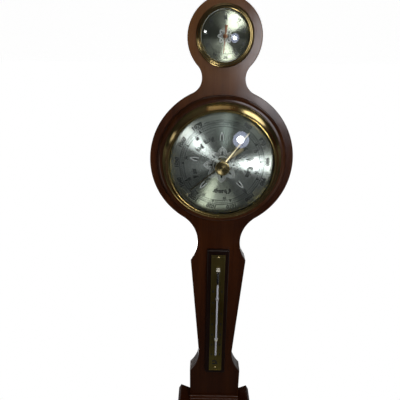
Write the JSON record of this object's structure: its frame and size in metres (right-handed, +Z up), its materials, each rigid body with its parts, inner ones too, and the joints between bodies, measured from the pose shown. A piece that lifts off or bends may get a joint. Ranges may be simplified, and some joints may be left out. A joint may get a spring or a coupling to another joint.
{
  "type": "aneroid barometer",
  "caption": "Wall-hung banjo-shaped weather station: wooden board with gabled head, thermometer on the trunk, round aneroid barometer with set hand and knob, small hygrometer in the foot.",
  "frame": {"origin": "top of the hanging slot in the plate let into the back of the head, on the wall plane: the point the wall hook carries", "axes": "+Z up the wall along the object's length, +X to the right for someone facing the dials, -Y out of the wall towards them"},
  "size_m": [0.16, 0.0482, 0.5542],
  "materials": {
    "mahogany": "dark stained mahogany under a satin varnish",
    "dark_mahogany": "very dark stained mahogany, satin varnish",
    "moulding_wood": "turned and varnished wood, semi-gloss",
    "bright_brass": "spun and lacquered",
    "aged_brass": "brushed, slightly tarnished",
    "silvered": "radially brushed and silvered",
    "blued_steel": "dark blued",
    "copper": "copper brown, satin",
    "steel": "machined",
    "nickel": "nickel plated",
    "tin": "tinned sheet",
    "clip": "white enamelled",
    "dark_spirit": "dark dyed spirit",
    "clear_glass": "clear polished"
  },
  "bodies": {
    "case": {"case_board": "mahogany", "frieze": "mahogany", "roof_board_left": "mahogany", "roof_board_right": "mahogany", "dial_moulding": "moulding_wood", "thermometer_block": "dark_mahogany", "hanger_plate": "aged_brass", "hanger_screw_left": "aged_brass", "hanger_screw_right": "aged_brass", "thermometer_plate": "aged_brass", "thermometer_tube": "clear_glass", "thermometer_spirit": "dark_spirit", "tube_clip_upper": "clip", "tube_clip_middle": "clip", "bulb_rest": "clip", "plate_pin_upper": "bright_brass", "plate_pin_lower": "bright_brass", "main_bezel": "bright_brass", "main_glass": "clear_glass", "glass_bush": "bright_brass", "main_dial": "silvered", "hairspring": "blued_steel", "drum_case": "tin", "drum_screw_1": "steel", "drum_screw_2": "steel", "drum_screw_3": "steel", "base_plate": "aged_brass", "dial_pillar_1": "aged_brass", "dial_pillar_2": "aged_brass", "dial_pillar_3": "aged_brass", "aneroid_capsule": "nickel", "capsule_stud": "aged_brass", "spring_post": "steel", "bridge_pillar_upper": "aged_brass", "bridge_pillar_lower": "aged_brass", "lower_bridge": "aged_brass", "upper_bridge": "aged_brass", "rocking_post_upper": "aged_brass", "rocking_post_lower": "aged_brass", "chain": "steel", "hygro_bezel": "bright_brass", "hygro_glass": "clear_glass", "hygro_dial": "silvered", "hygro_coil": "copper", "coil_post": "aged_brass", "hygro_can": "tin"},
    "set_pointer": {"set_knob": "bright_brass", "knob_shaft": "bright_brass", "set_hand": "bright_brass"},
    "indicator": {"indicator_hand": "blued_steel", "hand_arbor": "steel"},
    "lever": {"main_spring": "steel", "main_lever": "aged_brass", "lever_pin": "steel"},
    "rocker": {"rocking_arbor": "steel"},
    "humidity_pointer": {"hygro_pointer": "copper", "hygro_hub": "copper", "hygro_arbor": "steel"},
    "adjuster": {"adjusting_screw": "steel"}
  },
  "joints": [
    {"name": "set_knob_turn", "type": "hinge", "parent": "case", "child": "set_pointer", "pos_m": [0, -0.04, -0.345], "axis": [0, 1, 0], "continuous": true},
    {"name": "indicator_turn", "type": "hinge", "parent": "case", "child": "indicator", "pos_m": [0, -0.03, -0.345], "axis": [0, 1, 0], "range_deg": [-198.5, 96], "deforming": ["hairspring", "chain"]},
    {"name": "lever_tilt", "type": "hinge", "parent": "case", "child": "lever", "pos_m": [-0.027, -0.0145, -0.345], "axis": [0, 0, 1], "range_deg": [-1, 0.5], "deforming": ["aneroid_capsule"]},
    {"name": "rocker_turn", "type": "hinge", "parent": "case", "child": "rocker", "pos_m": [0.027, -0.0185, -0.345], "axis": [0, 0, 1], "range_deg": [-7.9, 16.1]},
    {"name": "humidity_turn", "type": "hinge", "parent": "case", "child": "humidity_pointer", "pos_m": [0, -0.02, -0.4717], "axis": [0, 1, 0], "range_deg": [-139.7, 130.3], "deforming": ["hygro_coil"]},
    {"name": "adjuster_turn", "type": "hinge", "parent": "case", "child": "adjuster", "pos_m": [-0.031, -0.004, -0.345], "axis": [0, 1, 0], "range_deg": [-180, 180]}
  ],
  "couplings": [
    {"joint": "rocker_turn", "follows": "indicator_turn", "ratio": -0.08},
    {"joint": "lever_tilt", "follows": "indicator_turn", "ratio": 0.00503}
  ]
}
